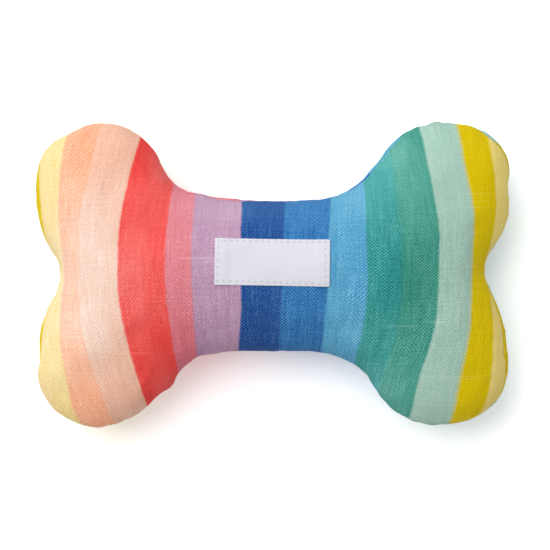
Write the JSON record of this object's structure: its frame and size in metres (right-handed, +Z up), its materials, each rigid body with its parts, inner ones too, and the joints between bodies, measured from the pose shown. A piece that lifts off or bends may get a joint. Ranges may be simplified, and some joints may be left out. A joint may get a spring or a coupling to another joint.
{
  "type": "squeaking fabric dog toy",
  "caption": "Stuffed bone-shaped fabric dog toy with a plain sewn-on label and a squeaker inside that sounds when the toy is squeezed.",
  "frame": {"origin": "on the ground under the middle of the toy as it lies on its back panel", "axes": "+X along the bone's length, to the picture's right; +Y across it, to the picture's top; +Z up through the front panel and its label"},
  "size_m": [0.229, 0.147, 0.0544],
  "materials": {
    "striped_linen": "slubby plain-weave linen and cotton, printed with broad stripes from pale yellow through peach, red, pink, lilac, navy, blues, teal, green and mint to mustard",
    "label_cloth": "fine woven label tape, matt, bare",
    "thread": "polyester sewing thread",
    "fibre_filling": "loose polyester fibre",
    "soft_plastic": "blow-moulded soft plastic, satin",
    "rigid_plastic": "moulded plastic, satin",
    "reed_film": "stiff polyester film"
  },
  "bodies": {
    "back": {"back_panel": "striped_linen", "seam_bobbin_thread": "thread", "closing_stitch": "thread", "back_shank_wad": "fibre_filling", "knuckle_wad_lower_left": "fibre_filling", "knuckle_wad_lower_right": "fibre_filling", "knuckle_wad_upper_left": "fibre_filling", "knuckle_wad_upper_right": "fibre_filling"},
    "squeaker": {"squeaker_bulb": "soft_plastic", "squeaker_barrel": "rigid_plastic", "tone_board": "rigid_plastic", "reed_wedge": "rigid_plastic"},
    "front": {"front_panel": "striped_linen", "seam_needle_thread": "thread", "label": "label_cloth", "label_needle_thread": "thread", "label_bobbin_thread": "thread", "front_shank_wad": "fibre_filling"},
    "reed": {"reed": "reed_film"}
  },
  "joints": [
    {"name": "squeeze", "type": "slide", "parent": "back", "child": "front", "axis": [0, 0, -1], "range_m": [0, 0.018], "stiffness_N_per_m": 700, "deforming": ["back_panel", "seam_needle_thread", "seam_bobbin_thread", "closing_stitch", "front_shank_wad", "back_shank_wad", "knuckle_wad_lower_left", "knuckle_wad_lower_right", "knuckle_wad_upper_left", "knuckle_wad_upper_right", "squeaker_bulb"]},
    {"name": "squeaker_sink", "type": "slide", "parent": "back", "child": "squeaker", "axis": [0, 0, -1], "range_m": [0, 0.009], "stiffness_N_per_m": 100, "deforming": ["back_panel", "seam_needle_thread", "seam_bobbin_thread", "closing_stitch", "front_shank_wad", "back_shank_wad", "knuckle_wad_lower_left", "knuckle_wad_lower_right", "knuckle_wad_upper_left", "knuckle_wad_upper_right", "squeaker_bulb"]},
    {"name": "reed_flex", "type": "hinge", "parent": "squeaker", "child": "reed", "pos_m": [0.0252, 0, 0.02655], "axis": [0, 1, 0], "range_deg": [-1.8, 3], "stiffness_Nm_per_rad": 0.015}
  ],
  "couplings": [
    {"joint": "squeaker_sink", "follows": "squeeze", "ratio": 0.4934}
  ]
}
